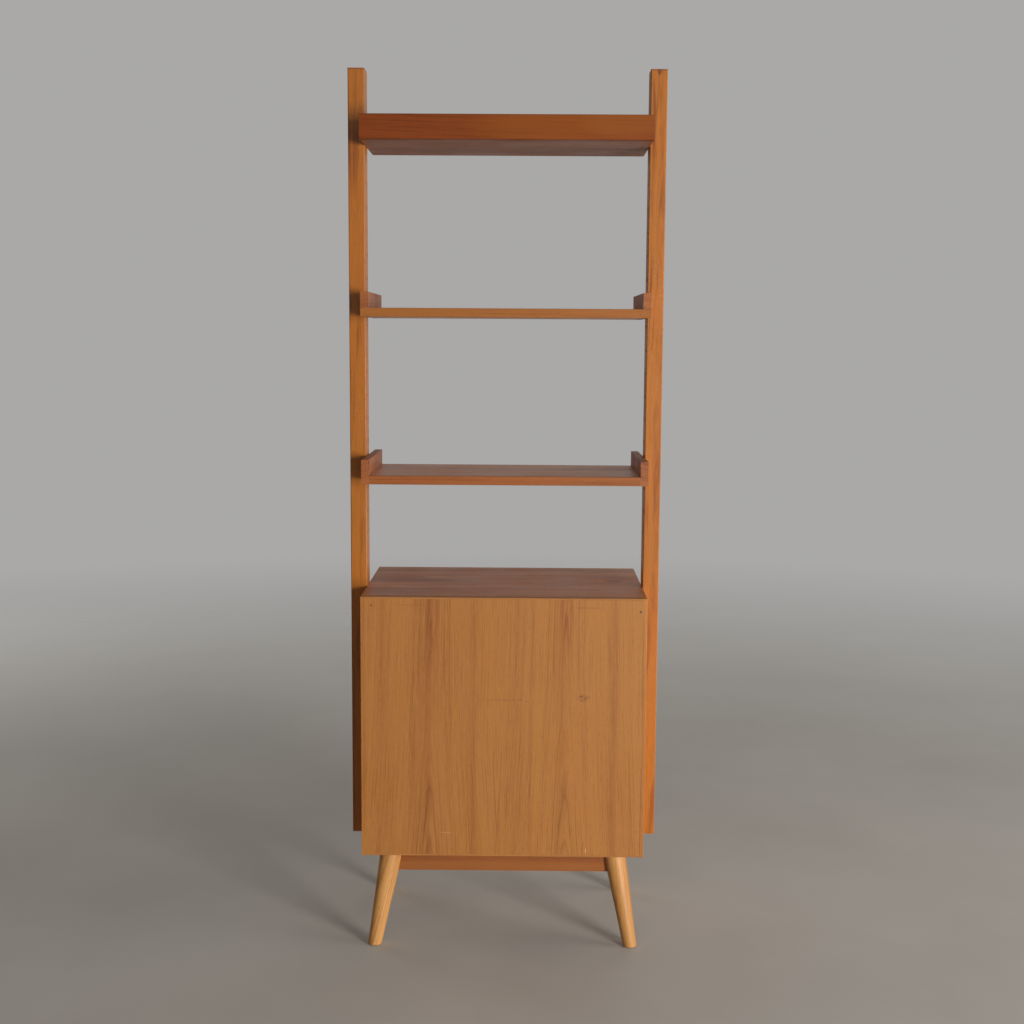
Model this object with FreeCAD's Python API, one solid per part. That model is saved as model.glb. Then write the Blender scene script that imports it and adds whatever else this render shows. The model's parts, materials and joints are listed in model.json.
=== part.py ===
# Free-standing bookcase: two uprights carry a deep top shelf, two adjustable shelves and a
# cabinet with one door. The cabinet stands on a rail frame with four splayed, tapered legs.
# +X is the right-hand side, the front faces -Y, +Z is up. The origin is the middle of the
# footprint on the floor. All sizes are millimetres.
import FreeCAD, Part
import os

os.makedirs("parts", exist_ok=True)

# ---- driving dimensions ---------------------------------------------------------------------
WIDTH = 620.0                  # between the inner faces of the uprights
HALF = WIDTH / 2
CABINET_DEPTH = 414.0          # door front to cabinet back
FRONT = -CABINET_DEPTH / 2
REAR = CABINET_DEPTH / 2
CABINET_BOTTOM = 221.0
CABINET_TOP = 799.0
PANEL = 19.0                   # cabinet panels, door and shelf boards
BACK_PANEL = 6.0
GAP = 0.4                      # sliding clearance between pieces that move past each other

UPRIGHT_THICK = 36.0
UPRIGHT_DEPTH = 58.0
UPRIGHT_FRONT = FRONT + 138.0
UPRIGHT_MID = UPRIGHT_FRONT + UPRIGHT_DEPTH / 2
UPRIGHT_FOOT = 227.0
UPRIGHT_TOP = 1933.0
UPRIGHT_EDGE = 2.0             # eased long edges

SHELF_FRONT = FRONT + 29.0
SHELF_DEPTH = 292.0
SHELF_HEIGHTS = {"upper": 1399.0, "lower": 1040.0}
HOLE_PITCH = (SHELF_HEIGHTS["upper"] - SHELF_HEIGHTS["lower"]) / 7
HOLES_BELOW_LOWER = 3          # peg holes below the lower shelf's pegs
HOLES_ABOVE_UPPER = 6          # peg holes above the upper shelf's pegs
LIPPING = 8.0                  # solid front edge of a shelf board
LIPPED_ACROSS = ("upper",)     # shelves whose lipping also runs under the cleats' front ends
CLEAT_THICK = 17.0
CLEAT_HEIGHT = 53.0
CLEAT_TONGUE = 5.0             # how far the board's tongues sit in the cleats
TONGUE_SHOULDER = 4.0          # step above and below a tongue
SHELF_EDGE = 1.0               # eased edges of lippings and cleats

TOP_BOTTOM = 1769.0
TOP_HEIGHT = 52.0
TOP_DEPTH = 282.0
TOP_SKIN = 9.0                 # upper and lower boards of the top shelf
TOP_END = 17.0
TOP_FASCIA = 20.0
FASCIA_EDGE = 1.5

PEG_RADIUS = 4.0
PEG_SPACING = 32.0             # front to back
PEG_IN_UPRIGHT = 22.0
PEG_IN_CLEAT = 8.0
PEG_ABOVE_CLEAT_FOOT = 34.0    # peg axis over the underside of its shelf
PEG_CHAMFER = 0.8
PEG_ROOM_ABOVE = 0.3           # between a peg and the top of its groove
PEG_ROOM_END = 0.6             # between a peg's end and the bottom of its groove

DOOR_GAP = 2.0                 # space that the hinge leaves take
DOOR_BACK = FRONT + PANEL
CARCASS_FRONT = DOOR_BACK + DOOR_GAP
DOOR_SIDE_LIP = 9.5
DOOR_END_LIP = 3.6
BEVEL_DEPTH = 9.0              # finger bevel behind the door's lower edge
BEVEL_HEIGHT = 14.0
HINGE_INSET = 2.5              # hinge axis inside the outer face
HINGE_X = -HALF + HINGE_INSET
HINGE_Y = (DOOR_BACK + CARCASS_FRONT) / 2
HINGE_LENGTH = 60.0
HINGE_HEIGHTS = (CABINET_BOTTOM + 70.0, CABINET_TOP - 130.0)
KNUCKLE_RADIUS = 2.3
KNUCKLE_PLAY = 0.2             # at each end of a knuckle
KNUCKLE_ROOM = 0.4             # round a knuckle, in the back of the door
PIN_RADIUS = 1.2
PIN_CLEARANCE = 0.05
LEAF_THICK = 0.95
LEAF_WIDTH = 14.0
LEAF_START = HINGE_X + KNUCKLE_RADIUS + 0.5
HINGE_SCREW_SHARES = (0.17, 0.5, 0.83)    # of the leaf's length
HINGE_SCREW_RADIUS = 1.2
HINGE_SCREW_LENGTH = 12.0
HINGE_SCREW_HEAD_RADIUS = 2.6
HINGE_SCREW_HEAD = 1.6
HINGE_SCREW_FROM_AXIS = 0.06   # the heads lie just under the leaf's face
SWING_RADIUS = 4.4             # hollow in the carcass corner that the door edge turns in

INNER_SHELF_HEIGHT = 500.0
INNER_SHELF_GAP = 1.0          # at each end of the inner shelf
INNER_SHELF_SETBACK = 22.0     # behind the front of the cabinet's sides
INNER_SHELF_REAR_GAP = 4.0
INNER_SHELF_PLAY = 0.1         # above the pins
INNER_PIN_RADIUS = 2.5
INNER_PIN_LENGTH = 16.0
INNER_PIN_DEPTH = 8.0          # in the cabinet side
INNER_PIN_FROM_FRONT = 60.0
INNER_PIN_FROM_REAR = 80.0
INNER_PIN_HEIGHT = INNER_SHELF_HEIGHT - INNER_PIN_RADIUS - 0.2
INNER_HOLE_COUNT = 9
INNER_HOLES_BELOW = 4
INNER_HOLE_PITCH = 32.0

LEG_TOP_RADIUS = 25.5
LEG_FOOT_RADIUS = 15.0
LEG_FOOT_X = 287.0
LEG_FOOT_Y = 167.0
LEG_SPLAY = 0.174              # run per unit of height, both ways
RAIL_THICK = 22.0
RAIL_HEIGHT = 58.0
GLIDE_RADIUS = 8.0
GLIDE_HEIGHT = 3.0
GLIDE_CHAMFER = 0.5
LEG_BOTTOM = 1.5               # the leg stands on its glide, just clear of the floor
LEG_BOLT_RADIUS = 4.0
LEG_BOLT_DEPTH = 30.0          # in the leg
LEG_BOLT_LENGTH = 46.0

BOLT_RADIUS = 3.0
BOLT_HEAD_RADIUS = 6.5
BOLT_HEAD = 4.0
BOLT_SOCKET_RADIUS = 3.2
BOLT_SOCKET_DEPTH = 2.5
BOLT_PAST_UPRIGHT = 14.0       # how far a bolt runs on into the cabinet or the top shelf
FIT = 0.05                     # radial clearance of bolts and pegs in their holes


# ---- helpers --------------------------------------------------------------------------------
def box(x0, x1, y0, y1, z0, z1):
    return Part.makeBox(x1 - x0, y1 - y0, z1 - z0, FreeCAD.Vector(x0, y0, z0))


def rod(x, y, z, radius, length, direction):
    return Part.makeCylinder(radius, length, FreeCAD.Vector(x, y, z), FreeCAD.Vector(*direction))


def joined(shapes):
    whole = shapes[0]
    for shape in shapes[1:]:
        whole = whole.fuse(shape)
    return whole.removeSplitter()


def cut(shape, tools):
    for tool in tools:
        shape = shape.cut(tool)
    return shape


def export(name, *shapes):
    shape = shapes[0] if len(shapes) == 1 else Part.makeCompound(list(shapes))
    shape.exportStep("parts/" + name + ".step")


def long_edges(shape, axis):
    chosen = []
    for edge in shape.Edges:
        start, end = edge.Vertexes[0].Point, edge.Vertexes[-1].Point
        run = end - start
        if abs(abs(getattr(run, axis)) - run.Length) < 1e-6 and run.Length > 0:
            chosen.append(edge)
    return chosen


# side is -1 on the left and +1 on the right; these turn "from the outer face inwards" into X
def side_box(side, outer, inner, y0, y1, z0, z1):
    x0, x1 = sorted((side * outer, side * inner))
    return box(x0, x1, y0, y1, z0, z1)


def inward_rod(side, outer, y, z, radius, length):
    return rod(side * outer, y, z, radius, length, (-side, 0, 0))


# ---- fasteners through the uprights ---------------------------------------------------------
BOLT_OUTER = HALF + UPRIGHT_THICK
BOLT_LENGTH = UPRIGHT_THICK + BOLT_PAST_UPRIGHT
CABINET_BOLT_HEIGHTS = (CABINET_BOTTOM + 70.0, CABINET_TOP - 70.0)
TOP_BOLT_HEIGHT = TOP_BOTTOM + TOP_HEIGHT / 2
PEG_PLACES = (UPRIGHT_MID - PEG_SPACING / 2, UPRIGHT_MID + PEG_SPACING / 2)


def bolt_places():
    places = [(UPRIGHT_MID, height) for height in CABINET_BOLT_HEIGHTS]
    places += [(y, TOP_BOLT_HEIGHT) for y in PEG_PLACES]
    return places


def bolt(side, y, z, slack):
    shank = inward_rod(side, BOLT_OUTER, y, z, BOLT_RADIUS + slack, BOLT_LENGTH + slack)
    head = inward_rod(side, BOLT_OUTER, y, z, BOLT_HEAD_RADIUS + slack, BOLT_HEAD)
    whole = joined([shank, head])
    if slack == 0:
        whole = whole.cut(inward_rod(side, BOLT_OUTER, y, z, BOLT_SOCKET_RADIUS, BOLT_SOCKET_DEPTH))
    return whole


def bolts(side, slack, above=0.0):
    return [bolt(side, y, z, slack) for y, z in bolt_places() if z > above]


def make_uprights():
    for side, name in ((-1, "upright_left"), (1, "upright_right")):
        post = side_box(side, BOLT_OUTER, HALF, UPRIGHT_FRONT, UPRIGHT_FRONT + UPRIGHT_DEPTH,
                        UPRIGHT_FOOT, UPRIGHT_TOP)
        post = post.makeFillet(UPRIGHT_EDGE, long_edges(post, "z"))
        holes = []
        for height in peg_hole_heights():
            for y in PEG_PLACES:
                holes.append(inward_rod(side, HALF + PEG_IN_UPRIGHT, y, height, PEG_RADIUS + FIT,
                                        PEG_IN_UPRIGHT + 1))
        export(name, cut(post, holes + bolts(side, FIT)))


def peg_hole_heights():
    lower_peg = SHELF_HEIGHTS["lower"] + PEG_ABOVE_CLEAT_FOOT
    last = round((SHELF_HEIGHTS["upper"] - SHELF_HEIGHTS["lower"]) / HOLE_PITCH) + HOLES_ABOVE_UPPER
    return [lower_peg + row * HOLE_PITCH for row in range(-HOLES_BELOW_LOWER, last + 1)]


def make_bolts():
    cabinet = []
    top = []
    for side in (-1, 1):
        for y, z in bolt_places():
            (top if z > CABINET_TOP else cabinet).append(bolt(side, y, z, 0))
    export("cabinet_bolts", *cabinet)
    export("top_shelf_bolts", *top)


# ---- adjustable shelves ---------------------------------------------------------------------
def make_pegs(name, foot):
    pegs = []
    for side in (-1, 1):
        for y in PEG_PLACES:
            peg = inward_rod(side, HALF + PEG_IN_UPRIGHT, y, foot + PEG_ABOVE_CLEAT_FOOT, PEG_RADIUS,
                             PEG_IN_UPRIGHT + PEG_IN_CLEAT)
            pegs.append(peg.makeChamfer(PEG_CHAMFER, peg.Edges))
    export(name + "_shelf_pegs", *pegs)


def make_cleat(side, foot):
    outer = HALF - GAP
    inner = outer - CLEAT_THICK
    cleat = side_box(side, outer, inner, SHELF_FRONT, SHELF_FRONT + SHELF_DEPTH,
                     foot, foot + CLEAT_HEIGHT)
    cleat = cleat.makeFillet(SHELF_EDGE, long_edges(cleat, "y"))
    groove_top = foot + PEG_ABOVE_CLEAT_FOOT + PEG_RADIUS + PEG_ROOM_ABOVE
    tools = []
    for y in PEG_PLACES:
        half_groove = PEG_RADIUS + GAP
        tools.append(side_box(side, outer + 1, outer - PEG_IN_CLEAT - PEG_ROOM_END,
                              y - half_groove, y + half_groove, foot - 1, groove_top))
    tools.append(side_box(side, inner + CLEAT_TONGUE, inner - 1, SHELF_FRONT + LIPPING,
                          SHELF_FRONT + SHELF_DEPTH - LIPPING, foot + TONGUE_SHOULDER,
                          foot + PANEL - TONGUE_SHOULDER))
    return cut(cleat, tools)


def make_shelf(name, foot):
    outer = HALF - GAP
    inner = outer - CLEAT_THICK
    rear = SHELF_FRONT + SHELF_DEPTH
    tongues = box(-inner - CLEAT_TONGUE, inner + CLEAT_TONGUE, SHELF_FRONT + LIPPING, rear - LIPPING,
                  foot + TONGUE_SHOULDER, foot + PANEL - TONGUE_SHOULDER)
    board = box(-inner, inner, SHELF_FRONT + LIPPING, rear, foot, foot + PANEL)
    export(name + "_shelf_board", joined([board, tongues]))
    end = outer if name in LIPPED_ACROSS else inner
    lipping = box(-end, end, SHELF_FRONT, SHELF_FRONT + LIPPING, foot, foot + PANEL)
    cleats = {side: cut(make_cleat(side, foot), [lipping]) for side in (-1, 1)}
    front_edges = [edge for edge in long_edges(lipping, "x")
                   if abs(edge.Vertexes[0].Y - SHELF_FRONT) < 1e-6]
    export(name + "_shelf_lipping", lipping.makeFillet(SHELF_EDGE, front_edges))
    export(name + "_shelf_cleat_left", cleats[-1])
    export(name + "_shelf_cleat_right", cleats[1])


# ---- fixed top shelf: a shallow closed box -----------------------------------------------------
def make_top_shelf():
    top = TOP_BOTTOM + TOP_HEIGHT
    rear = SHELF_FRONT + TOP_DEPTH
    behind_fascia = SHELF_FRONT + TOP_FASCIA
    before_rail = rear - TOP_FASCIA
    inner = HALF - TOP_END
    fascia = box(-HALF, HALF, SHELF_FRONT, behind_fascia, TOP_BOTTOM, top)
    outer_edges = [edge for edge in long_edges(fascia, "x")
                   if abs(edge.Vertexes[0].Y - SHELF_FRONT) < 1e-6]
    export("top_shelf_fascia", fascia.makeFillet(FASCIA_EDGE, outer_edges))
    export("top_shelf_board", box(-HALF, HALF, behind_fascia, rear, top - TOP_SKIN, top))
    export("top_shelf_underside", box(-inner, inner, behind_fascia, before_rail,
                                      TOP_BOTTOM, TOP_BOTTOM + TOP_SKIN))
    export("top_shelf_rear_rail", box(-inner, inner, before_rail, rear,
                                      TOP_BOTTOM, top - TOP_SKIN))
    for side, name in ((-1, "left"), (1, "right")):
        end = side_box(side, HALF, inner, behind_fascia, rear, TOP_BOTTOM, top - TOP_SKIN)
        export("top_shelf_end_" + name, cut(end, bolts(side, FIT, CABINET_TOP)))


# ---- cabinet --------------------------------------------------------------------------------
INSIDE_REAR = REAR - BACK_PANEL
INSIDE_BOTTOM = CABINET_BOTTOM + PANEL
INSIDE_TOP = CABINET_TOP - PANEL
INSIDE_HALF = HALF - PANEL
INNER_PIN_PLACES = (CARCASS_FRONT + INNER_PIN_FROM_FRONT, REAR - INNER_PIN_FROM_REAR)
RABBET = 8.0                   # the back panel sits this deep in the sides and the top
BACK_HOLD = RABBET - 0.2       # how far the back panel reaches into its rabbets


def inner_pin_holes(side):
    holes = []
    low = INNER_PIN_HEIGHT - INNER_HOLES_BELOW * INNER_HOLE_PITCH
    for row in range(INNER_HOLE_COUNT):
        for y in INNER_PIN_PLACES:
            holes.append(inward_rod(side, INSIDE_HALF + INNER_PIN_DEPTH, y, low + row * INNER_HOLE_PITCH,
                                    INNER_PIN_RADIUS + FIT, INNER_PIN_DEPTH + 1))
    return holes


def hinge_swing():
    return rod(HINGE_X, HINGE_Y, CABINET_BOTTOM - 1, SWING_RADIUS, CABINET_TOP - CABINET_BOTTOM + 2,
               (0, 0, 1))


def make_carcass():
    for side, name in ((-1, "left"), (1, "right")):
        panel = side_box(side, HALF, INSIDE_HALF, CARCASS_FRONT, REAR, CABINET_BOTTOM, INSIDE_TOP)
        rabbet = side_box(side, INSIDE_HALF + RABBET, INSIDE_HALF - 1, INSIDE_REAR, REAR + 1,
                          CABINET_BOTTOM - 1, INSIDE_TOP + 1)
        tools = [rabbet] + inner_pin_holes(side) + bolts(side, FIT)
        if side < 0:
            tools.append(hinge_swing())
            tools += hinge_screws(1, FIT)
        else:
            tools += catch_screws(FIT)
        export("cabinet_side_" + name, cut(panel, tools))
    lid = box(-HALF, HALF, CARCASS_FRONT, REAR, INSIDE_TOP, CABINET_TOP)
    rabbet = box(-INSIDE_HALF - RABBET, INSIDE_HALF + RABBET, INSIDE_REAR, REAR + 1,
                 INSIDE_TOP - 1, INSIDE_TOP + RABBET)
    export("cabinet_top", cut(lid, [rabbet, hinge_swing()]))
    floor = box(-INSIDE_HALF, INSIDE_HALF, CARCASS_FRONT, INSIDE_REAR, CABINET_BOTTOM, INSIDE_BOTTOM)
    export("cabinet_floor", cut(floor, leg_bolts(FIT)))
    export("cabinet_back", box(-INSIDE_HALF - BACK_HOLD, INSIDE_HALF + BACK_HOLD, INSIDE_REAR, REAR,
                               CABINET_BOTTOM, INSIDE_TOP + BACK_HOLD))


def make_inner_shelf():
    half = INSIDE_HALF - INNER_SHELF_GAP
    shelf = box(-half, half, CARCASS_FRONT + INNER_SHELF_SETBACK, INSIDE_REAR - INNER_SHELF_REAR_GAP,
                INNER_SHELF_HEIGHT + INNER_SHELF_PLAY, INNER_SHELF_HEIGHT + PANEL)
    export("inner_shelf", shelf)
    pins = []
    for side in (-1, 1):
        for y in INNER_PIN_PLACES:
            pins.append(inward_rod(side, INSIDE_HALF + INNER_PIN_DEPTH, y, INNER_PIN_HEIGHT,
                                   INNER_PIN_RADIUS, INNER_PIN_LENGTH))
    export("inner_shelf_pins", *pins)


# ---- door, hinges and catch -----------------------------------------------------------------
def knuckle_spans(low):
    third = HINGE_LENGTH / 3
    return [(low + i * third + KNUCKLE_PLAY, low + (i + 1) * third - KNUCKLE_PLAY) for i in range(3)]


def hinge_leaf(low, on_door):
    y0, y1 = (DOOR_BACK, DOOR_BACK + LEAF_THICK) if on_door else (CARCASS_FRONT - LEAF_THICK, CARCASS_FRONT)
    pieces = [box(LEAF_START, LEAF_START + LEAF_WIDTH, y0, y1, low, low + HINGE_LENGTH)]
    spans = knuckle_spans(low)
    own = [spans[1]] if on_door else [spans[0], spans[2]]
    for z0, z1 in own:
        pieces.append(rod(HINGE_X, HINGE_Y, z0, KNUCKLE_RADIUS, z1 - z0, (0, 0, 1)))
        pieces.append(box(HINGE_X, LEAF_START + 1, y0, y1, z0, z1))
    bore = rod(HINGE_X, HINGE_Y, low - 1, PIN_RADIUS + PIN_CLEARANCE, HINGE_LENGTH + 2, (0, 0, 1))
    screws = hinge_screws(-1 if on_door else 1, FIT)
    return cut(joined(pieces), [bore] + screws)


def hinge_screws(direction, slack):
    # direction -1 runs forwards into the door, +1 runs back into the cabinet side
    face = HINGE_Y + direction * HINGE_SCREW_FROM_AXIS
    x = LEAF_START + LEAF_WIDTH / 2
    screws = []
    for low in HINGE_HEIGHTS:
        for share in HINGE_SCREW_SHARES:
            z = low + share * HINGE_LENGTH
            shank = rod(x, face, z, HINGE_SCREW_RADIUS + slack, HINGE_SCREW_LENGTH + slack,
                        (0, direction, 0))
            head = Part.makeCone(HINGE_SCREW_HEAD_RADIUS + slack, HINGE_SCREW_RADIUS + slack,
                                 HINGE_SCREW_HEAD, FreeCAD.Vector(x, face, z),
                                 FreeCAD.Vector(0, direction, 0))
            screws.append(joined([shank, head]))
    return screws


def door_blank(z0, z1):
    return box(-HALF, HALF, FRONT, DOOR_BACK, z0, z1)


def hinge_recesses():
    return [rod(HINGE_X, HINGE_Y, low - 0.5, KNUCKLE_RADIUS + KNUCKLE_ROOM, HINGE_LENGTH + 1, (0, 0, 1))
            for low in HINGE_HEIGHTS]


def finger_bevel():
    # the whole lower edge is bevelled at the back, so that fingers pull the door open there
    front = DOOR_BACK - BEVEL_DEPTH
    corners = [(front, CABINET_BOTTOM), (DOOR_BACK, CABINET_BOTTOM + BEVEL_HEIGHT),
               (DOOR_BACK + 1, CABINET_BOTTOM + BEVEL_HEIGHT), (DOOR_BACK + 1, CABINET_BOTTOM - 1),
               (front, CABINET_BOTTOM - 1), (front, CABINET_BOTTOM)]
    outline = Part.makePolygon([FreeCAD.Vector(-HALF - 1, y, z) for y, z in corners])
    return Part.Face(outline).extrude(FreeCAD.Vector(WIDTH + 2, 0, 0))


def make_door():
    z0 = CABINET_BOTTOM
    z1 = CABINET_TOP
    blank = cut(door_blank(z0, z1), hinge_recesses() + [finger_bevel()])
    blank = cut(blank, hinge_screws(-1, FIT) + strike_screws(FIT))
    inner = HALF - DOOR_SIDE_LIP
    field = box(-inner, inner, FRONT - 1, DOOR_BACK + 1, z0 + DOOR_END_LIP, z1 - DOOR_END_LIP)
    export("door_panel", blank.common(field))
    for name, x0, x1 in (("left", -HALF - 1, -inner), ("right", inner, HALF + 1)):
        export("door_lipping_" + name, blank.common(box(x0, x1, FRONT - 1, DOOR_BACK + 1, z0 - 1, z1 + 1)))
    for name, low, high in (("bottom", z0 - 1, z0 + DOOR_END_LIP), ("top", z1 - DOOR_END_LIP, z1 + 1)):
        export("door_lipping_" + name, blank.common(box(-inner, inner, FRONT - 1, DOOR_BACK + 1, low, high)))


def make_hinges():
    export("hinge_leaves_door", *[hinge_leaf(low, True) for low in HINGE_HEIGHTS])
    export("hinge_leaves_cabinet", *[hinge_leaf(low, False) for low in HINGE_HEIGHTS])
    pins = []
    for low in HINGE_HEIGHTS:
        pins.append(rod(HINGE_X, HINGE_Y, low + KNUCKLE_PLAY, PIN_RADIUS, HINGE_LENGTH - 2 * KNUCKLE_PLAY,
                        (0, 0, 1)))
    export("hinge_pins", *pins)
    export("hinge_screws_door", *hinge_screws(-1, 0))
    export("hinge_screws_cabinet", *hinge_screws(1, 0))


CATCH_HEIGHT = INSIDE_TOP - 40.0
CATCH_FACE = CARCASS_FRONT + 1.0          # front of the magnet, just behind the closed door
# each: reach in from the cabinet side, gap to the side, front and rear behind the face, half height
CATCH_CASE = (15.0, 0.0, 2.0, 30.0, 9.0)
CATCH_EARS = (4.0, 0.0, 8.0, 20.0, 22.0)
CATCH_MAGNET = (13.0, 3.0, 0.0, 12.0, 7.0)
CATCH_SCREW_SETBACK = 14.0                # behind the face, in the middle of the ears
CATCH_SCREW_SPACING = 32.0
CATCH_SCREW_LENGTH = 14.0
CATCH_SCREW_IN_SIDE = 10.0
STRIKE_THICK = 1.2
STRIKE = (15.0, 1.0, DOOR_BACK - CATCH_FACE, DOOR_BACK + STRIKE_THICK - CATCH_FACE, 18.0)
STRIKE_SCREW_FROM_SIDE = 8.0
STRIKE_SCREW_SPACING = 24.0
STRIKE_SCREW_LENGTH = 10.0
SMALL_SCREW_RADIUS = 1.5


def catch_block(reach, gap, front, rear, half_height):
    return box(INSIDE_HALF - reach, INSIDE_HALF - gap, CATCH_FACE + front, CATCH_FACE + rear,
               CATCH_HEIGHT - half_height, CATCH_HEIGHT + half_height)


def pair_about_catch(spacing):
    return (CATCH_HEIGHT - spacing / 2, CATCH_HEIGHT + spacing / 2)


def catch_screws(slack):
    return [inward_rod(1, INSIDE_HALF + CATCH_SCREW_IN_SIDE + slack, CATCH_FACE + CATCH_SCREW_SETBACK, z,
                       SMALL_SCREW_RADIUS + slack, CATCH_SCREW_LENGTH + slack)
            for z in pair_about_catch(CATCH_SCREW_SPACING)]


def strike_screws(slack):
    return [rod(INSIDE_HALF - STRIKE_SCREW_FROM_SIDE, DOOR_BACK + STRIKE_THICK, z,
                SMALL_SCREW_RADIUS + slack, STRIKE_SCREW_LENGTH + slack, (0, -1, 0))
            for z in pair_about_catch(STRIKE_SCREW_SPACING)]


def make_catch():
    magnet = catch_block(*CATCH_MAGNET)
    case = joined([catch_block(*CATCH_CASE), catch_block(*CATCH_EARS)])
    export("catch_body", cut(case, [magnet] + catch_screws(FIT)))
    export("catch_magnet", magnet)
    export("catch_screws", *catch_screws(0))
    export("catch_strike", cut(catch_block(*STRIKE), strike_screws(FIT)))
    export("strike_screws", *strike_screws(0))


# ---- base -----------------------------------------------------------------------------------
LEG_HEAD_X = LEG_FOOT_X - LEG_SPLAY * CABINET_BOTTOM
LEG_HEAD_Y = LEG_FOOT_Y - LEG_SPLAY * CABINET_BOTTOM


def leg(side_x, side_y):
    foot = FreeCAD.Vector(side_x * LEG_FOOT_X, side_y * LEG_FOOT_Y, 0)
    head = FreeCAD.Vector(side_x * LEG_HEAD_X, side_y * LEG_HEAD_Y, CABINET_BOTTOM)
    axis = head - foot
    length = axis.Length
    unit = axis * (1 / length)
    extra = 20.0               # the cone runs on past both ends before it is cut level
    taper = (LEG_TOP_RADIUS - LEG_FOOT_RADIUS) / length
    start = foot - unit * extra
    cone = Part.makeCone(LEG_FOOT_RADIUS - taper * extra, LEG_TOP_RADIUS + taper * extra,
                         length + 2 * extra, start, unit)
    slab = box(-HALF, HALF, FRONT, REAR, LEG_BOTTOM, CABINET_BOTTOM)
    return cone.common(slab)


CORNERS = {"front_left": (-1, -1), "front_right": (1, -1), "rear_left": (-1, 1), "rear_right": (1, 1)}


def leg_bolts(slack):
    low = CABINET_BOTTOM - LEG_BOLT_DEPTH - slack
    return [rod(sx * LEG_HEAD_X, sy * LEG_HEAD_Y, low, LEG_BOLT_RADIUS + slack,
                LEG_BOLT_LENGTH + 2 * slack, (0, 0, 1)) for sx, sy in CORNERS.values()]


def glide(side_x, side_y):
    return rod(side_x * LEG_FOOT_X, side_y * LEG_FOOT_Y, 0, GLIDE_RADIUS, GLIDE_HEIGHT, (0, 0, 1))


def make_base():
    legs = {name: leg(*place) for name, place in CORNERS.items()}
    glides = [glide(*place) for place in CORNERS.values()]
    for name, shape in legs.items():
        export("leg_" + name, cut(shape, leg_bolts(FIT) + glides))
    export("leg_bolts", *leg_bolts(0))
    export("leg_glides", *[piece.makeChamfer(GLIDE_CHAMFER, [piece.Edges[-1]]) for piece in glides])
    low = CABINET_BOTTOM - RAIL_HEIGHT
    rails = {}
    for name, side in (("front", -1), ("rear", 1)):
        y = side * LEG_HEAD_Y
        rails["base_rail_" + name] = box(-LEG_HEAD_X, LEG_HEAD_X, y - RAIL_THICK / 2, y + RAIL_THICK / 2,
                                         low, CABINET_BOTTOM)
    for name, side in (("left", -1), ("right", 1)):
        x = side * LEG_HEAD_X
        reach = LEG_HEAD_Y - RAIL_THICK / 2
        rails["base_rail_" + name] = box(x - RAIL_THICK / 2, x + RAIL_THICK / 2, -reach, reach,
                                         low, CABINET_BOTTOM)
    for name, rail in rails.items():
        coped = cut(rail, list(legs.values()))
        export(name, max(coped.Solids, key=lambda solid: solid.Volume))


make_uprights()
make_bolts()
for shelf_name, shelf_foot in SHELF_HEIGHTS.items():
    make_pegs(shelf_name, shelf_foot)
    make_shelf(shelf_name, shelf_foot)
make_top_shelf()
make_carcass()
make_inner_shelf()
make_door()
make_hinges()
make_catch()
make_base()
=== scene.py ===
# Looks of the bookcase with adjustable shelves: every visible board is an eased copy of its CAD
# node with a procedural wood, the legs and the small hardware are modelled here. Units: metres.
import json
import math
import random
import bmesh
import bpy
from mathutils import Matrix, Vector


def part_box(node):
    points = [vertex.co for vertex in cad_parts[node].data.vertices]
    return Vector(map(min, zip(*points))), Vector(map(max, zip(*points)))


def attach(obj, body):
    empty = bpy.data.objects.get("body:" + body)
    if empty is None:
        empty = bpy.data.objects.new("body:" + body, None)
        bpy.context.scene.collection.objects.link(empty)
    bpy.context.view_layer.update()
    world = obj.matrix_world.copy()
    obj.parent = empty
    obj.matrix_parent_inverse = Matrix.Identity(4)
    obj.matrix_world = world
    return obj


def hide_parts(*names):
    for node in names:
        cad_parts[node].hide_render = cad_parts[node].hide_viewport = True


MM = 0.001

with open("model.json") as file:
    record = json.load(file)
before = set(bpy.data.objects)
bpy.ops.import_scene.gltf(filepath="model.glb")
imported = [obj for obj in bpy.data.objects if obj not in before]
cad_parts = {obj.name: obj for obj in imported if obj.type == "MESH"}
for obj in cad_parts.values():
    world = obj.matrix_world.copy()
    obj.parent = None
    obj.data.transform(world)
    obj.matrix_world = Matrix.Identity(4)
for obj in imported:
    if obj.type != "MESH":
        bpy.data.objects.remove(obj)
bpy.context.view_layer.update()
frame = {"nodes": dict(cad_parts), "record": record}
NODES = frame["nodes"]
BODY_OF = {n: body for body, names in frame["record"]["behaviour"]["bodies"].items() for n in names}
LINK = bpy.context.scene.collection.objects.link
COLOUR_INPUTS, COLOUR_OUTPUT = (6, 7), 2    # the colour sockets of a Mix node


# ---- colours -----------------------------------------------------------------------------------
def tone(red, green, blue):
    """A display colour, 0 to 255, as the linear colour that shaders take."""
    linear = []
    for part in (red, green, blue):
        share = part / 255
        linear.append(share / 12.92 if share <= 0.04045 else ((share + 0.055) / 1.055) ** 2.4)
    return (*linear, 1.0)


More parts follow.
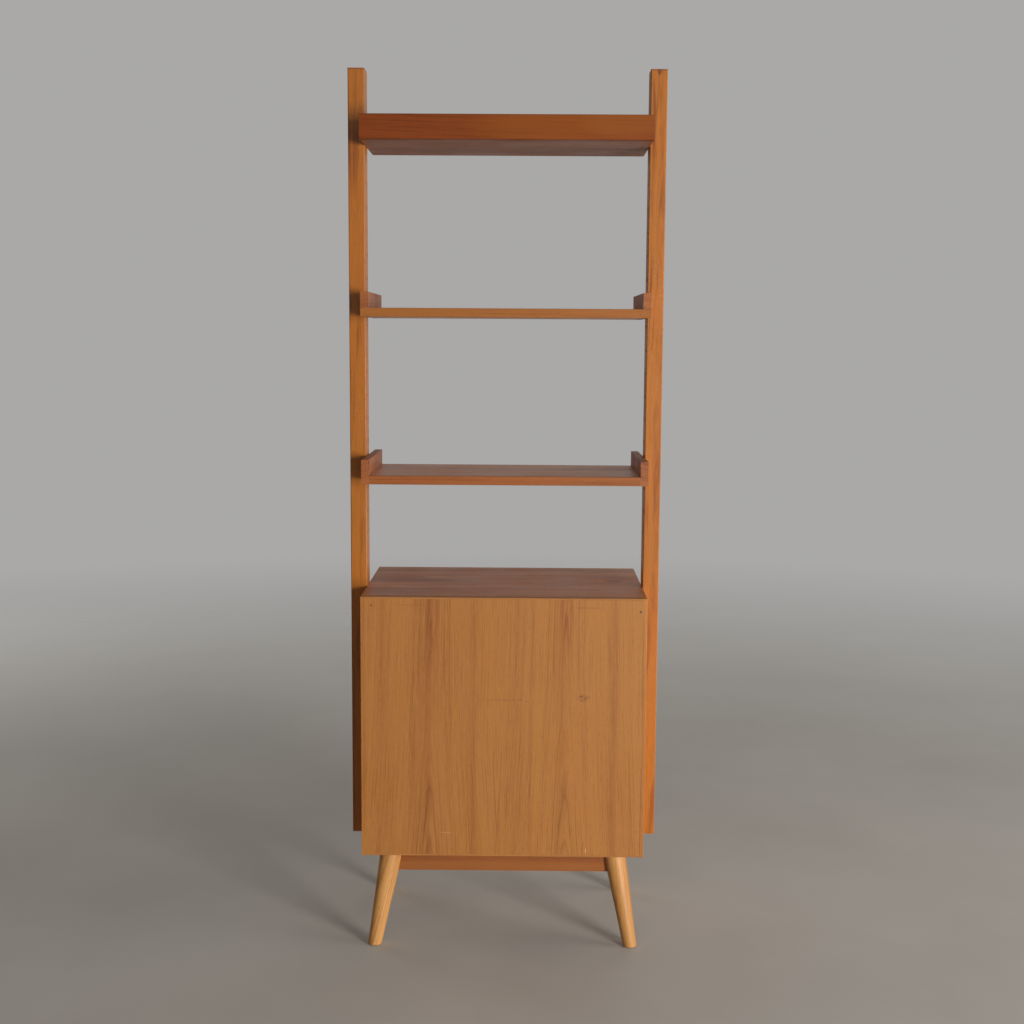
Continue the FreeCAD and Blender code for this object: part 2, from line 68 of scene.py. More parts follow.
# ---- shader graph helper -----------------------------------------------------------------------
class Graph:
    """A material under construction. Values are sockets or plain numbers."""

    def __init__(self, name):
        self.material = bpy.data.materials.new(name)
        self.material.use_nodes = True
        self.tree = self.material.node_tree
        self.shader = self.tree.nodes["Principled BSDF"]

    def new(self, kind, **settings):
        node = self.tree.nodes.new(kind)
        for key, value in settings.items():
            setattr(node, key, value)
        return node

    def feed(self, socket, value):
        if isinstance(value, bpy.types.NodeSocket):
            self.tree.links.new(value, socket)
        else:
            socket.default_value = value

    def math(self, operation, *values, clamp=False):
        node = self.new("ShaderNodeMath", operation=operation, use_clamp=clamp)
        for socket, value in zip(node.inputs, values):
            self.feed(socket, value)
        return node.outputs[0]

    def hypot(self, x, y):
        squares = [self.math("MULTIPLY", side, side) for side in (x, y)]
        return self.math("SQRT", self.math("ADD", *squares))

    def vector(self, x, y, z):
        node = self.new("ShaderNodeCombineXYZ")
        for socket, value in zip(node.inputs, (x, y, z)):
            self.feed(socket, value)
        return node.outputs[0]

    def object_axes(self, turn=None):
        out = self.new("ShaderNodeTexCoord").outputs["Object"]
        if turn is not None:
            centre, axis, angle = turn
            rotate = self.new("ShaderNodeVectorRotate", rotation_type="AXIS_ANGLE")
            self.feed(rotate.inputs["Vector"], out)
            rotate.inputs["Center"].default_value = centre
            rotate.inputs["Axis"].default_value = axis
            rotate.inputs["Angle"].default_value = angle
            out = rotate.outputs[0]
        split = self.new("ShaderNodeSeparateXYZ")
        self.feed(split.inputs[0], out)
        return split.outputs

    def noise(self, vector, detail=2.0, roughness=0.5, scale=1.0):
        node = self.new("ShaderNodeTexNoise")
        self.feed(node.inputs["Vector"], vector)
        node.inputs["Scale"].default_value = scale
        node.inputs["Detail"].default_value = detail
        node.inputs["Roughness"].default_value = roughness
        return node.outputs[0]

    def remap(self, value, low, high, to_low=0.0, to_high=1.0, smooth=False):
        node = self.new("ShaderNodeMapRange")
        if smooth:
            node.interpolation_type = "SMOOTHSTEP"
        for socket, number in zip(node.inputs, (value, low, high, to_low, to_high)):
            self.feed(socket, number)
        return node.outputs[0]

    def mix(self, share, first, second, blend="MIX"):
        node = self.new("ShaderNodeMix", data_type="RGBA", blend_type=blend)
        self.feed(node.inputs["Factor"], share)
        for index, colour in zip(COLOUR_INPUTS, (first, second)):
            self.feed(node.inputs[index], colour)
        return node.outputs[COLOUR_OUTPUT]

    def ramp(self, share, *stops):
        node = self.new("ShaderNodeValToRGB")
        self.feed(node.inputs[0], share)
        elements = node.color_ramp.elements
        for _ in range(len(stops) - 2):
            elements.new(0.5)
        for element, (place, grey) in zip(elements, stops):
            element.position = place
            element.color = (grey, grey, grey, 1.0)
        return node.outputs[0]

    def bump(self, height, distance, strength=1.0):
        node = self.new("ShaderNodeBump")
        node.inputs["Strength"].default_value = strength
        node.inputs["Distance"].default_value = distance
        self.feed(node.inputs["Height"], height)
        self.tree.links.new(node.outputs[0], self.shader.inputs["Normal"])


# ---- wood --------------------------------------------------------------------------------------
GRAIN_ORDER = {"X": (1, 2, 0), "Y": (0, 2, 1), "Z": (0, 1, 2)}
LATE_WOOD = ((0.0, 0.45), (0.12, 0.05), (0.50, 0.05), (0.76, 0.55), (0.90, 1.0), (1.0, 0.45))
WARM_TINT = (1.0, 0.86, 0.72, 1.0)
PORE_TINT = (0.38, 0.28, 0.22, 1.0)
NOISE_REACH = 40               # each board's noise starts somewhere else within this reach


class Timber(Graph):
    """Wood under construction: it knows the grain's direction and has its own stretch of noise."""

    def __init__(self, name, grain, seed, turn):
        super().__init__(name)
        self.axes = self.object_axes(turn)
        self.across, self.through, self.along = (self.axes[i] for i in GRAIN_ORDER[grain])
        self.seed = seed
        dice = random.Random(seed)
        self.shift = [dice.uniform(-NOISE_REACH, NOISE_REACH) for _ in range(3)]

    def drawn(self, across, along, detail=2.0, roughness=0.5, offset=0.0):
        """Noise that is drawn out along the grain."""
        axes = (self.across, self.through, self.along)
        place = [self.math("MULTIPLY_ADD", axis, scale, shift + offset)
                 for axis, scale, shift in zip(axes, (across, across, along), self.shift)]
        return self.noise(self.vector(*place), detail, roughness)

    def sway(self, noise, amount):
        return self.math("MULTIPLY", self.math("SUBTRACT", noise, 0.5), amount)

    def from_pith(self, pith, taper, wander, centres, bend):
        """Distance from the pith, the part of it across the board, and how far the figure sways."""
        lazy = self.sway(self.drawn(4.0, 1.7, 1.0), wander * 2)
        wavy = self.sway(self.drawn(30.0, 6.0, 2.0, offset=7.0), wander * 0.4)
        if centres:
            swayed = self.math("ADD", self.across, lazy)
            left, right = (self.math("ABSOLUTE", self.math("SUBTRACT", swayed, centre))
                           for centre in centres)
            sideways = self.math("MINIMUM", left, right)
        else:
            sideways = self.math("ADD", self.math("SUBTRACT", self.across, pith[0]), lazy)
        radius = self.hypot(sideways, self.math("SUBTRACT", self.through, pith[1]))
        if bend is None:
            rise = self.math("MULTIPLY", self.along, taper)
        else:
            held = self.math("SMOOTH_MIN", self.along, bend, 0.1)
            rise = self.math("MULTIPLY_ADD", self.along, taper * 0.2,
                             self.math("MULTIPLY", held, taper * 0.8))
        return self.math("ADD", self.math("ADD", radius, wavy), rise), sideways, lazy

    def late_wood(self, radius, ring):
        """Pale early wood that runs into a thin dark late line, each ring with its own strength."""
        phase = self.math("DIVIDE", radius, ring)
        late = self.ramp(self.math("FRACT", phase), *LATE_WOOD)
        luck = self.new("ShaderNodeTexWhiteNoise", noise_dimensions="1D")
        self.feed(luck.inputs["W"], self.math("ADD", self.math("FLOOR", phase), self.seed * 0.37))
        late = self.math("MULTIPLY", late, self.remap(luck.outputs[0], 0.0, 1.0, 0.15, 1.0))
        patchy = self.remap(self.drawn(22.0, 2.5, 2.0, offset=41.0), 0.35, 0.62, 0.35, 1.0)
        return self.math("MULTIPLY", late, patchy)

    def fine_lines(self, radius, sideways):
        """Thin dark lines that follow the rings."""
        place = self.vector(self.math("MULTIPLY", radius, 260.0),
                            self.math("MULTIPLY_ADD", sideways, 6.0, self.shift[1]),
                            self.math("MULTIPLY_ADD", self.along, 3.2, self.shift[2]))
        return self.remap(self.noise(place, 3.0, 0.65), 0.50, 0.72)

    def stripe(self, lazy, place, half, strength):
        """A soft darker band along the grain."""
        away = self.math("ABSOLUTE", self.math("SUBTRACT", self.math("ADD", self.across, lazy), place))
        patchy = self.remap(self.drawn(60.0, 1.6, 2.0, offset=53.0 + place), 0.3, 0.65, 0.2, 1.0)
        return self.math("MULTIPLY", self.remap(away, 0.0, half, strength, 0.0, smooth=True), patchy)

    def mark(self, colour, centre, half, shade, amount):
        """A small stain, pin hole, scratch or nick, or a band of painted light: an ellipse about a point,
        drawn in one shade.
        """
        terms = []
        for axis, middle, reach in zip(self.axes, centre, half):
            offset = self.math("DIVIDE", self.math("SUBTRACT", axis, middle), reach)
            terms.append(self.math("MULTIPLY", offset, offset))
        distance = self.math("ADD", self.math("ADD", terms[0], terms[1]), terms[2])
        share = self.math("MULTIPLY", self.remap(distance, 0.25, 1.0, 1.0, 0.0), amount)
        return self.mix(share, colour, shade)

    def oil_finish(self, rough, gloss, fibre, late, pore):
        """A satin finish, a little duller over the pores."""
        polish = self.remap(self.noise(self.vector(*self.axes), 3.0, 0.6, scale=11.0), 0.3, 0.7, *rough)
        dulled = self.math("ADD", polish, self.math("MULTIPLY", pore, 0.12))
        self.feed(self.shader.inputs["Roughness"], dulled)
        relief = self.math("SUBTRACT", self.math("MULTIPLY", fibre, 0.5),
                           self.math("MULTIPLY_ADD", late, 0.2, pore))
        self.bump(relief, 0.12 * MM, 0.6)
        self.shader.inputs["Specular IOR Level"].default_value = gloss


def wood(name, light, dark, grain, seed, ring=0.0032, pith=(0.03, 0.05), taper=0.006, figure=0.45,
         bands=0.25, streaks=0.4, fibres=0.5, rough=(0.42, 0.58), gloss=0.38, wander=0.010, centres=None,
         bend=None, stripes=(), marks=(), turn=None):
    """Solid wood or veneer: growth rings about a pith along the grain, with bands of darker wood, fine
    dark lines, fibres and pores drawn out along the grain. ring is the rings' spacing; figure, bands,
    streaks and fibres say how strongly rings, bands, lines and fibres darken the wood. centres sets
    flat-sawn figures side by side that run straight past bend, stripes are darker bands (place across,
    half width, strength), marks are small flaws or bands of painted light (centre, half size, shade,
    amount), and turn lays the grain along a leaning piece (centre, axis, angle)."""
    g = Timber(name, grain, seed, turn)
    radius, sideways, lazy = g.from_pith(pith, taper, wander, centres, bend)
    late = g.late_wood(radius, ring)
    band = g.remap(g.drawn(14.0, 0.8, 2.0, offset=3.0), 0.38, 0.68, smooth=True)
    fibre = g.drawn(900.0, 24.0, 2.0, 0.6, 17.0)
    pore = g.remap(g.drawn(1500.0, 75.0, 1.0, offset=23.0), 0.62, 0.72)
    darkness = g.math("ADD", g.math("MULTIPLY", late, figure), g.math("MULTIPLY", band, bands))
    darkness = g.math("MULTIPLY_ADD", g.fine_lines(radius, sideways), streaks, darkness)
    for stripe in stripes:
        darkness = g.math("ADD", darkness, g.stripe(lazy, *stripe))
    darkness = g.math("ADD", darkness, g.sway(fibre, fibres), clamp=True)

    colour = g.mix(darkness, light, dark)
    warm = g.remap(g.drawn(7.0, 1.8, 1.0, offset=31.0), 0.35, 0.7, 0.0, 0.3)
    colour = g.mix(warm, colour, g.mix(1.0, colour, WARM_TINT, "MULTIPLY"))
    colour = g.mix(g.math("MULTIPLY", pore, 0.4), colour, g.mix(1.0, colour, PORE_TINT, "MULTIPLY"))
    for spot in marks:
        colour = g.mark(colour, *spot)
    g.feed(g.shader.inputs["Base Color"], colour)
    g.oil_finish(rough, gloss, fibre, late, pore)
    return g.material


# ---- other materials ---------------------------------------------------------------------------
def metal(name, colour, rough, scratch=120.0, tarnish=None):
    """Satin metal, cloudy with tarnish."""
    g = Graph(name)
    axes = g.object_axes()
    place = g.vector(*axes)
    grain = g.noise(place, 3.0, 0.6, scale=scratch)
    cloud = g.noise(place, 3.0, 0.55, scale=60.0)
    patina = tarnish or tuple(0.6 * part for part in colour[:3]) + (1.0,)
    g.feed(g.shader.inputs["Base Color"], g.mix(g.remap(cloud, 0.45, 0.75), colour, patina))
    g.feed(g.shader.inputs["Roughness"], g.remap(grain, 0.3, 0.7, rough - 0.07, rough + 0.1))
    g.shader.inputs["Metallic"].default_value = 1.0
    g.bump(g.noise(place, 2.0, 0.5, scale=900.0), 0.03 * MM, 0.5)
    return g.material


def moulded(name, colour, rough=0.5):
    """Moulded plastic with a fine texture."""
    g = Graph(name)
    place = g.vector(*g.object_axes())
    cloud = g.noise(place, 2.0, 0.5, scale=90.0)
    g.feed(g.shader.inputs["Base Color"], g.mix(g.remap(cloud, 0.3, 0.7, 0.0, 0.3), colour,
                                                tuple(0.75 * part for part in colour[:3]) + (1.0,)))
    g.feed(g.shader.inputs["Roughness"], g.remap(cloud, 0.3, 0.7, rough - 0.05, rough + 0.08))
    g.bump(g.noise(place, 2.0, 0.5, scale=2500.0), 0.02 * MM, 0.6)
    return g.material


# ---- mesh pieces -------------------------------------------------------------------------------
def finished(name, bm, material, body, replaced=()):
    """Turns a bmesh into a piece of the object that rides on a CAD body."""
    mesh = bpy.data.meshes.new(name)
    bm.to_mesh(mesh)
    bm.free()
    mesh.materials.append(material)
    piece = bpy.data.objects.new(name, mesh)
    LINK(piece)
    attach(piece, body)
    if replaced:
        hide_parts(*replaced)
    return piece


def circle(centre, radius, sides, turn=Matrix.Identity(3)):
    """Points round a centre, level unless turn tips them."""
    angles = (2 * math.pi * i / sides for i in range(sides))
    return [Vector(centre) + turn @ Vector((radius * math.cos(angle), radius * math.sin(angle), 0.0))
            for angle in angles]


def skin(bm, outlines):
    """A closed skin over a row of outlines with the same number of points, capped at both ends."""
    rings = [[bm.verts.new(point) for point in outline] for outline in outlines]
    for lower, upper in zip(rings, rings[1:]):
        for i, corner in enumerate(lower):
            j = (i + 1) % len(lower)
            bm.faces.new((corner, lower[j], upper[j], upper[i]))
    bm.faces.new(list(reversed(rings[0])))
    bm.faces.new(rings[-1])


def cad_bmesh(node):
    bm = bmesh.new()
    bm.from_mesh(NODES[node].data)
    bmesh.ops.remove_doubles(bm, verts=bm.verts, dist=0.002 * MM)
    bmesh.ops.dissolve_limit(bm, angle_limit=math.radians(0.4), verts=bm.verts, edges=bm.edges)
    return bm


def ease(bm, pick, width, segments=3):
    """Rounds the chosen sharp edges; pick says which, from an edge's middle and direction."""
    chosen = []
    for edge in bm.edges:
        if len(edge.link_faces) != 2 or edge.calc_face_angle(0) < math.radians(50):
            continue
        start, end = (vert.co for vert in edge.verts)
        length = (end - start).length
        if length > 4 * width and pick((start + end) / 2, (end - start) / length):
            chosen.append(edge)
    if chosen:
        bmesh.ops.bevel(bm, geom=chosen, offset=width, offset_type="OFFSET", segments=segments,
                        profile=0.5, affect="EDGES", clamp_overlap=True)


def shade(piece, angle=35.0):
    """Smooth shading that keeps flat faces flat."""
    mesh = piece.data
    mesh.polygons.foreach_set("use_smooth", [True] * len(mesh.polygons))
    mesh.set_sharp_from_angle(angle=math.radians(angle))
    piece.modifiers.new("flat faces", "WEIGHTED_NORMAL").keep_sharp = True


def board(node, material, soft=0.8, hard=0.15, outside=None):
    """An eased copy of a CAD board. Edges that outside() accepts get the soft round, the others the
    hard one; both are in mm."""
    bm = cad_bmesh(node)
    if outside is None:
        ease(bm, lambda place, run: True, soft * MM)
    else:
        ease(bm, outside, soft * MM)
        ease(bm, lambda place, run: not outside(place, run), hard * MM, 1)
    piece = finished(node + ".board", bm, material, BODY_OF[node], [node])
    shade(piece)
    return piece


DOOR_LOW, DOOR_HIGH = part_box("door_lipping_left")[0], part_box("door_lipping_right")[1]

# the colours of the oiled wood, light and dark grain
DOOR_LIGHT, DOOR_DARK = tone(174, 116, 56), tone(124, 64, 26)
POST_LIGHT, POST_DARK = tone(182, 110, 36), tone(128, 66, 20)
TOP_LIGHT, TOP_DARK = tone(138, 67, 18), tone(94, 38, 10)
# the thin shelves' colours are partly the wood's own tone and partly painted reflection: they are made
# paler to stand in for the wall's sheen on the shelf tops
SHELF_LIGHT_WITH_SHEEN, SHELF_DARK_WITH_SHEEN = tone(216, 154, 110), tone(150, 98, 70)
LIPPINGS = {"upper": (tone(160, 97, 36), tone(114, 61, 22)),
            "lower": (tone(160, 92, 40), tone(112, 56, 22))}
LEG_LIGHT, LEG_DARK = tone(213, 158, 92), tone(150, 92, 42)
CHIPS_UP = 53 * MM             # chips in the cleats' front ends lie up to this far above the foot


def door_marks():
    """Wear on the door's face: pin holes at the corners, a small knot, faint scratches and nicks."""
    width = DOOR_HIGH.x - DOOR_LOW.x
    height = DOOR_HIGH.z - DOOR_LOW.z
    face = DOOR_LOW.y
    hole = tone(52, 30, 16)
    knot = tone(92, 48, 30)
    scratch = tone(122, 74, 42)
    nick = tone(222, 182, 132)

    def at(across, down):
        return (DOOR_LOW.x + across * width, face, DOOR_HIGH.z - down * height)

    def size(across, tall):
        return (across * MM, 4 * MM, tall * MM)

    return [
        (at(0.038, 0.032), size(2.4, 2.4), hole, 0.8),
        (at(0.977, 0.050), size(2.8, 2.8), hole, 0.9),
        (at(0.990, 0.295), size(2.2, 2.2), hole, 0.8),
        (at(0.780, 0.380), size(17.0, 9.0), knot, 0.18),
        (at(0.773, 0.374), size(4.5, 3.2), knot, 0.50),
        (at(0.789, 0.381), size(3.4, 2.6), knot, 0.45),
        (at(0.776, 0.391), size(2.8, 3.6), knot, 0.40),
        (at(0.800, 0.376), size(6.0, 1.6), knot, 0.35),
        (at(0.490, 0.390), size(44.0, 1.2), scratch, 0.5),
        (at(0.560, 0.388), size(5.0, 2.6), scratch, 0.45),
        (at(0.580, 0.394), size(2.6, 2.2), scratch, 0.45),
        (at(0.170, 0.030), size(38.0, 1.0), scratch, 0.5),
        (at(0.790, 0.036), size(48.0, 1.0), scratch, 0.6),
        (at(0.105, 0.075), size(1.0, 22.0), scratch, 0.35),
        (at(0.300, 0.908), size(16.0, 1.2), nick, 0.22),
        (at(0.795, 0.975), size(1.6, 7.0), nick, 0.5),
        (at(0.008, 0.875), size(2.0, 5.0), nick, 0.6),
    ]


def make_door():
    width = DOOR_HIGH.x - DOOR_LOW.x

    def across(share):
        return DOOR_LOW.x + share * width

    stripes = [(across(0.07), 0.020, 0.15), (across(0.23), 0.060, 0.34), (across(0.24), 0.012, 0.18),
               (across(0.40), 0.016, 0.30), (across(0.55), 0.040, 0.20), (across(0.605), 0.008, 0.22),
               (across(0.70), 0.026, 0.24), (across(0.895), 0.020, 0.28)]
    middle = (DOOR_LOW.z + DOOR_HIGH.z) / 2
    veneer = wood("door veneer", DOOR_LIGHT, DOOR_DARK, "Z", 5, ring=0.0046,
                  pith=(0.0, DOOR_LOW.y - 0.020), taper=0.045, figure=0.38, bands=0.08,
                  streaks=0.42, fibres=0.95, wander=0.016,
                  centres=(across(0.25), across(0.725)), bend=middle, stripes=stripes, marks=door_marks())
    edge_side = wood("door side lipping", tone(181, 121, 58), DOOR_DARK, "Z", 8, figure=0.3, bands=0.3)
    edge_end = wood("door end lipping", tone(178, 120, 62), DOOR_DARK, "X", 9, figure=0.3, bands=0.3)

    def outer(place, run):
        near_side = min(place.x - DOOR_LOW.x, DOOR_HIGH.x - place.x) < 0.2 * MM
        near_end = min(place.z - DOOR_LOW.z, DOOR_HIGH.z - place.z) < 0.2 * MM
        return near_side or near_end

    board("door_panel", veneer, 0.12)
    for side in ("left", "right"):
        board("door_lipping_" + side, edge_side, 0.9, 0.1, outer)
    for end in ("top", "bottom"):
        board("door_lipping_" + end, edge_end, 0.9, 0.1, outer)


def make_uprights():
    for seed, node in ((21, "upright_left"), (27, "upright_right")):
        low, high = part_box(node)
        middle = (low.x + high.x) / 2
        head = [((middle, low.y, high.z), (60 * MM, 60 * MM, 4 * MM), tone(112, 60, 32), 0.55)]
        if node == "upright_right":
            knot = (middle, low.y, high.z - 5 * MM)
            head.append((knot, (6 * MM, 6 * MM, 10 * MM), tone(96, 36, 18), 0.65))
        material = wood(node.replace("_", " "), POST_LIGHT, POST_DARK, "Z", seed, ring=0.0038,
                        pith=(middle + 0.02, low.y + 0.09), taper=0.004, figure=0.3, bands=0.15,
                        streaks=0.9, fibres=0.7, rough=(0.32, 0.44), marks=head)
        ends = (low.z, high.z)
        board(node, material, 2.6, 0.2,
              lambda place, run: min(abs(place.z - end) for end in ends) < 0.2 * MM)


def make_top_shelf():
    low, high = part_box("top_shelf_fascia")

    def sunned(across, up, reach, shade):
        place = (low.x + across * (high.x - low.x), low.y, low.z + up * (high.z - low.z))
        return place, reach, shade, 0.45

    patches = [sunned(0.62, 0.5, (0.17, 0.1, 0.05), tone(146, 80, 22)),
               sunned(0.90, 0.7, (0.10, 0.1, 0.04), tone(150, 86, 28))]
    fascia = wood("top fascia", TOP_LIGHT, TOP_DARK, "X", 31, ring=0.0036,
                  pith=(low.y - 0.03, low.z - 0.03), taper=0.030, figure=0.35, bands=0.3, streaks=0.5,
                  gloss=0.2, wander=0.006, marks=patches)
    under = wood("top shelf veneer", tone(158, 101, 68), tone(110, 66, 44), "X", 33, figure=0.45, bands=0.4)
    ends = wood("top shelf ends", tone(158, 96, 58), tone(108, 62, 38), "Y", 35, figure=0.35)
    board("top_shelf_fascia", fascia, 1.0)
    for node in ("top_shelf_board", "top_shelf_underside", "top_shelf_rear_rail"):
        board(node, under, 0.7)
    for node in ("top_shelf_end_left", "top_shelf_end_right"):
        board(node, ends, 0.7)


def cleat_wear(name, side, dice):
    """Chips on a cleat: along its inner front edge, and on its top near the front."""
    low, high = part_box(name + "_shelf_cleat_" + side)
    inward = high.x if side == "left" else low.x
    chip = tone(70, 34, 20)
    worn = []
    for _ in range(9 if name == "lower" else 3):
        place = (inward + dice.uniform(-2.0, 2.0) * MM, low.y, low.z + dice.uniform(0.3, 0.98) * CHIPS_UP)
        size = (dice.uniform(1.0, 2.0) * MM, 3 * MM, dice.uniform(1.2, 3.2) * MM)
        worn.append((place, size, chip, dice.uniform(0.4, 0.8)))
    for _ in range(10 if (name, side) == ("lower", "right") else 2):
        place = (dice.uniform(low.x, high.x), low.y + dice.uniform(0.0, 60.0) * MM, high.z)
        size = (dice.uniform(2.0, 5.0) * MM, dice.uniform(2.0, 8.0) * MM, 3 * MM)
        worn.append((place, size, chip, dice.uniform(0.3, 0.7)))
    return worn


def make_thin_shelves():
    for index, name in enumerate(("upper", "lower")):
        seed = 41 + 10 * index
        veneer = wood(name + " shelf veneer", SHELF_LIGHT_WITH_SHEEN, SHELF_DARK_WITH_SHEEN, "X", seed, ring=0.0035, figure=0.4,
                      bands=0.4, rough=(0.32, 0.44))
        lipping = wood(name + " shelf lipping", *LIPPINGS[name], "X", seed + 1, figure=0.35, bands=0.4,
                       streaks=0.6)
        board(name + "_shelf_board", veneer, 0.5)
        board(name + "_shelf_lipping", lipping, 0.6, 0.1)
        for offset, side in enumerate(("left", "right")):
            worn = cleat_wear(name, side, random.Random(seed + 7 * offset))
            cleat = wood(name + " cleat " + side, tone(166, 98, 50), tone(112, 58, 30), "Y",
                         seed + 3 + offset, figure=0.5, streaks=0.7, fibres=0.8, marks=worn)
            board(name + "_shelf_cleat_" + side, cleat, 0.9)


def cabinet_scuffs():
    """Wear on the cabinet's top: dark stains and streaks, and paler rubbed patches."""
    low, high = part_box("cabinet_top")
    width, depth = high.x - low.x, high.y - low.y

    def stain(across, back, half_wide, half_deep, shade, amount):
        place = (low.x + across * width, low.y + back * depth, high.z)
        return place, (half_wide * MM, half_deep * MM, 5 * MM), shade, amount

    return [
        stain(0.90, 0.52, 26, 12, tone(84, 52, 40), 0.55),
        stain(0.74, 0.50, 70, 5, tone(110, 70, 50), 0.5),
        stain(0.62, 0.34, 90, 4, tone(120, 76, 54), 0.4),
        stain(0.24, 0.62, 34, 22, tone(222, 176, 144), 0.35),
        stain(0.40, 0.22, 60, 5, tone(216, 168, 134), 0.25),
        stain(0.12, 0.30, 24, 18, tone(216, 166, 130), 0.3),
    ]


def make_cabinet():
    top = wood("cabinet top veneer", tone(200, 130, 80), tone(142, 82, 48), "X", 61, ring=0.004,
               figure=0.35, bands=0.5, rough=(0.36, 0.48), marks=cabinet_scuffs())
    side = wood("cabinet side veneer", POST_LIGHT, POST_DARK, "Z", 63, ring=0.0035, figure=0.4)
    inside = wood("cabinet inside veneer", tone(196, 140, 88), tone(150, 96, 54), "X", 65, figure=0.35)
    back = wood("back panel", tone(186, 138, 92), tone(142, 96, 58), "Z", 67, figure=0.35,
                rough=(0.6, 0.75))
    board("cabinet_top", top, 0.9)
    board("cabinet_side_left", side, 0.6)
    board("cabinet_side_right", side, 0.6)
    board("cabinet_floor", inside, 0.5)
    board("inner_shelf", inside, 0.6)
    board("cabinet_back", back, 0.4)


def make_rails():
    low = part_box("base_rail_front")[0]
    # painted light: a paler band along the front rail's lower edge, so that the rail's upper part reads as
    # shaded by the door above
    painted_light_edge = [((0.0, low.y, low.z + 10 * MM), (0.5, 0.01, 14 * MM), tone(160, 98, 42), 0.5)]
    along = wood("base rail", tone(150, 86, 36), tone(104, 52, 22), "X", 71, figure=0.4, marks=painted_light_edge)
    across = wood("base side rail", tone(154, 92, 40), tone(108, 56, 24), "Y", 73, figure=0.4)
    for node in ("base_rail_front", "base_rail_rear"):
        board(node, along, 0.8)
    for node in ("base_rail_left", "base_rail_right"):
        board(node, across, 0.8)


# ---- legs --------------------------------------------------------------------------------------
def leg_axis(node):
    """Foot centre, head centre and the two radii of a splayed leg, from its CAD mesh."""
    low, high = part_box(node)
    points = [vert.co for vert in NODES[node].data.vertices]

    def ring_at(height):
        band = [p for p in points if abs(p.z - height) < 0.05 * MM]
        xs = [p.x for p in band]
        ys = [p.y for p in band]
        centre = Vector(((min(xs) + max(xs)) / 2, (min(ys) + max(ys)) / 2, height))
        return centre, (max(xs) - min(xs)) / 2

    foot, foot_radius = ring_at(low.z)
    head, head_radius = ring_at(high.z)
    return foot, head, foot_radius, head_radius


def make_leg(node, seed):
    """A leg turned along its leaning axis, rounded at the foot by a lip."""
    foot, head, foot_radius, head_radius = leg_axis(node)
    sides, steps, lip, lip_steps = 72, 26, 1.5 * MM, 5
    bends = [math.pi / 2 * i / lip_steps for i in range(lip_steps + 1)]
    heights = [lip * (1 - math.cos(bend)) for bend in bends]
    insets = [lip * (1 - math.sin(bend)) for bend in bends]
    length = head.z - foot.z
    heights += [lip + (length - lip) * (i + 1) / steps for i in range(steps)]
    insets += [0.0] * steps
    outlines = []
    for height, inset in zip(heights, insets):
        share = height / length
        radius = foot_radius + (head_radius - foot_radius) * share - inset
        outlines.append(circle(foot.lerp(head, share), radius, sides))
    bm = bmesh.new()
    skin(bm, outlines)
    lean = head - foot
    axis = Vector((0, 0, 1)).cross(lean).normalized()
    angle = -Vector((0, 0, 1)).angle(lean)
    material = wood(node.replace("_", " "), LEG_LIGHT, LEG_DARK, "Z", seed, ring=0.0034,
                    pith=(foot.x + 0.03, foot.y + 0.025), taper=0.01, figure=0.35, bands=0.4, streaks=0.6,
                    rough=(0.42, 0.52), turn=(tuple(foot), tuple(axis), angle))
    piece = finished(node + ".turned", bm, material, BODY_OF[node], [node])
    shade(piece, 50.0)


# ---- small hardware ----------------------------------------------------------------------------
def lathe(bm, profile, place, axis, sides):
    """Adds a turned solid: profile is (radius, distance along the axis), and axis is a unit vector."""
    axis = Vector(axis)
    turn = Vector((0, 0, 1)).rotation_difference(axis).to_matrix()
    skin(bm, [circle(Vector(place) + along * axis, radius, sides, turn) for radius, along in profile])


def make_bolt_heads(material):
    """Flush bolt heads with a hexagon socket, in the outer faces of the uprights."""
    for node in ("cabinet_bolts", "top_shelf_bolts"):
        piece = finished(node + ".turned", cad_bmesh(node), material, BODY_OF[node], [node])
        shade(piece, 40.0)


NAIL_HEAD = [(2.0 * MM, -0.4 * MM), (2.0 * MM, 0.0), (1.7 * MM, 0.25 * MM), (0.9 * MM, 0.4 * MM)]


def make_back_nails(material):
    """Round nail heads that hold the cabinet's back panel in its rabbets."""
    low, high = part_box("cabinet_back")
    inset, foot_gap, gaps = 4.5 * MM, 12 * MM, 5
    across = [low.x + inset + (high.x - low.x - 2 * inset) * i / gaps for i in range(gaps + 1)]
    up = [low.z + foot_gap + (high.z - low.z - 2 * foot_gap) * i / gaps for i in range(gaps + 1)]
    places = [(x, high.y, high.z - inset) for x in across]
    places += [(x, high.y, z) for x in (across[0], across[-1]) for z in up[:-1]]
    bm = bmesh.new()
    for place in places:
        lathe(bm, NAIL_HEAD, place, (0, 1, 0), 20)
    piece = finished("back_panel_nails", bm, material, BODY_OF["cabinet_back"])
    shade(piece, 45.0)


def dress(nodes, material):
    """CAD nodes that keep their own shape and get their finish here."""
    for node in nodes:
        data = NODES[node].data
        data.materials.clear()
        data.materials.append(material)


# ---- stage, light and camera -------------------------------------------------------------------
FLOOR_REACH, FLOOR_SIDES = 9.0, 96
FLOOR_FADE = (1.2, 6.0)        # the floor starts to fade at the first distance and is gone at the second


